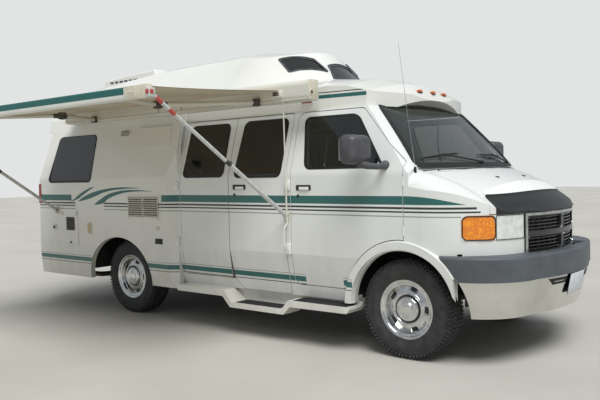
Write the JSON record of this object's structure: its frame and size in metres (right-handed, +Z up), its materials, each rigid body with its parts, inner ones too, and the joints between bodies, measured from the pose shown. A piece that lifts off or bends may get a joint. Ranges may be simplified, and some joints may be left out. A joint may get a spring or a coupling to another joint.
{
  "type": "camper van",
  "caption": "Wide-body camper van with a raised roof, side and rear doors, hood, steering, free-turning wheels and an awning drawn out on its right side.",
  "frame": {"origin": "on the ground, on the centreline, midway between the front and rear axles", "axes": "+X to the front of the van, +Y to its left, +Z up"},
  "size_m": [5.7398, 3.79, 2.5818],
  "materials": {
    "body_paint": "gloss white paint with green and dark stripes",
    "moulded_white": "gloss white gelcoat",
    "dark_glass": "deep grey tint",
    "clear_glass": "clear with a green cast",
    "black_plastic": "fine grain",
    "bumper_grey": "satin, fine grain",
    "bright_chrome": "polished",
    "rubber_tyre": "dusty black",
    "chassis_black": "dull black paint",
    "engine_iron": "dull",
    "exhaust_steel": "dull, lightly rusted",
    "lamp_lens": "clear and amber lenses",
    "red_lens": "red lens",
    "white_alloy": "white coated",
    "awning_fabric": "coated canvas",
    "seat_fabric": "woven",
    "grey_trim": "moulded grain"
  },
  "bodies": {
    "root": {"body_shell": "body_paint", "rear_body": "moulded_white", "raised_roof": "moulded_white", "floor_pan": "chassis_black", "chassis_frame": "chassis_black", "front_axle": "chassis_black", "rear_axle": "chassis_black", "hitch": "chassis_black", "engine": "engine_iron", "drive_shaft": "chassis_black", "exhaust": "exhaust_steel", "fuel_tank": "chassis_black", "windscreen": "clear_glass", "skylight": "dark_glass", "side_windows": "dark_glass", "grille": "bumper_grey", "headlamps": "lamp_lens", "tail_lamps": "red_lens", "bumper_cover": "bumper_grey", "front_bumper": "bright_chrome", "rear_bumper": "bumper_grey", "running_boards": "moulded_white", "roof_aircon": "moulded_white", "side_hatches": "moulded_white", "awning_housing": "white_alloy", "awning_lead": "white_alloy", "awning_arms": "white_alloy", "awning_legs": "white_alloy", "awning_crank": "white_alloy", "awning_cloth": "awning_fabric", "cab_seats": "seat_fabric", "dashboard": "grey_trim"},
    "hood": {"hood": "body_paint", "hood_guard": "black_plastic"},
    "front_door_right": {"front_door_right": "body_paint", "front_glass_right": "dark_glass", "mirror_right": "black_plastic"},
    "front_door_left": {"front_door_left": "body_paint", "front_glass_left": "dark_glass", "mirror_left": "black_plastic"},
    "side_door_front": {"side_door_front": "body_paint", "side_glass_front": "dark_glass"},
    "side_door_rear": {"side_door_rear": "body_paint", "side_glass_rear": "dark_glass"},
    "rear_door_right": {"rear_door_right": "moulded_white", "rear_glass_right": "dark_glass"},
    "rear_door_left": {"rear_door_left": "moulded_white", "rear_glass_left": "dark_glass"},
    "knuckle_right": {"knuckle_right": "chassis_black"},
    "knuckle_left": {"knuckle_left": "chassis_black"},
    "wheel_front_right": {"wheel_front_right": "bright_chrome", "tyre_front_right": "rubber_tyre"},
    "wheel_front_left": {"wheel_front_left": "bright_chrome", "tyre_front_left": "rubber_tyre"},
    "wheel_rear_right": {"wheel_rear_right": "bright_chrome", "tyre_rear_right": "rubber_tyre"},
    "wheel_rear_left": {"wheel_rear_left": "bright_chrome", "tyre_rear_left": "rubber_tyre"},
    "steering_wheel": {"steering_wheel": "black_plastic"}
  },
  "joints": [
    {"name": "hood_hinge", "type": "hinge", "parent": "root", "child": "hood", "pos_m": [1.778, 0, 1.385], "axis": [0, -1, 0], "range_deg": [0, 50]},
    {"name": "front_door_right_hinge", "type": "hinge", "parent": "root", "child": "front_door_right", "pos_m": [1.646, -1, 1.14], "axis": [0, 0, 1], "range_deg": [0, 65]},
    {"name": "front_door_left_hinge", "type": "hinge", "parent": "root", "child": "front_door_left", "pos_m": [1.646, 1, 1.14], "axis": [0, 0, -1], "range_deg": [0, 65]},
    {"name": "side_door_front_hinge", "type": "hinge", "parent": "root", "child": "side_door_front", "pos_m": [0.534, -1, 1.03], "axis": [0, 0, 1], "range_deg": [0, 85]},
    {"name": "side_door_rear_hinge", "type": "hinge", "parent": "root", "child": "side_door_rear", "pos_m": [-0.752, -1, 1.03], "axis": [0, 0, -1], "range_deg": [0, 90]},
    {"name": "rear_door_right_hinge", "type": "hinge", "parent": "root", "child": "rear_door_right", "pos_m": [-3.06, -0.803, 1.025], "axis": [0, 0, 1], "range_deg": [0, 90]},
    {"name": "rear_door_left_hinge", "type": "hinge", "parent": "root", "child": "rear_door_left", "pos_m": [-3.06, 0.803, 1.025], "axis": [0, 0, -1], "range_deg": [0, 90]},
    {"name": "steer_right", "type": "hinge", "parent": "root", "child": "knuckle_right", "pos_m": [1.6205, -0.735, 0.372], "axis": [0, 0, 1], "range_deg": [-32, 32]},
    {"name": "steer_left", "type": "hinge", "parent": "root", "child": "knuckle_left", "pos_m": [1.6205, 0.735, 0.372], "axis": [0, 0, 1], "range_deg": [-32, 32]},
    {"name": "steering_column", "type": "hinge", "parent": "root", "child": "steering_wheel", "pos_m": [1.262, 0.52, 1.225], "axis": [-0.7071, 0, 0.7071], "range_deg": [-512, 512]},
    {"name": "roll_front_right", "type": "hinge", "parent": "knuckle_right", "child": "wheel_front_right", "pos_m": [1.6205, -0.837, 0.372], "axis": [0, 1, 0], "continuous": true},
    {"name": "roll_front_left", "type": "hinge", "parent": "knuckle_left", "child": "wheel_front_left", "pos_m": [1.6205, 0.837, 0.372], "axis": [0, 1, 0], "continuous": true},
    {"name": "roll_rear_right", "type": "hinge", "parent": "root", "child": "wheel_rear_right", "pos_m": [-1.6205, -0.817, 0.372], "axis": [0, 1, 0], "continuous": true},
    {"name": "roll_rear_left", "type": "hinge", "parent": "root", "child": "wheel_rear_left", "pos_m": [-1.6205, 0.817, 0.372], "axis": [0, 1, 0], "continuous": true}
  ],
  "couplings": [
    {"joint": "steer_left", "follows": "steer_right", "ratio": 1},
    {"joint": "steering_column", "follows": "steer_right", "ratio": 16}
  ]
}
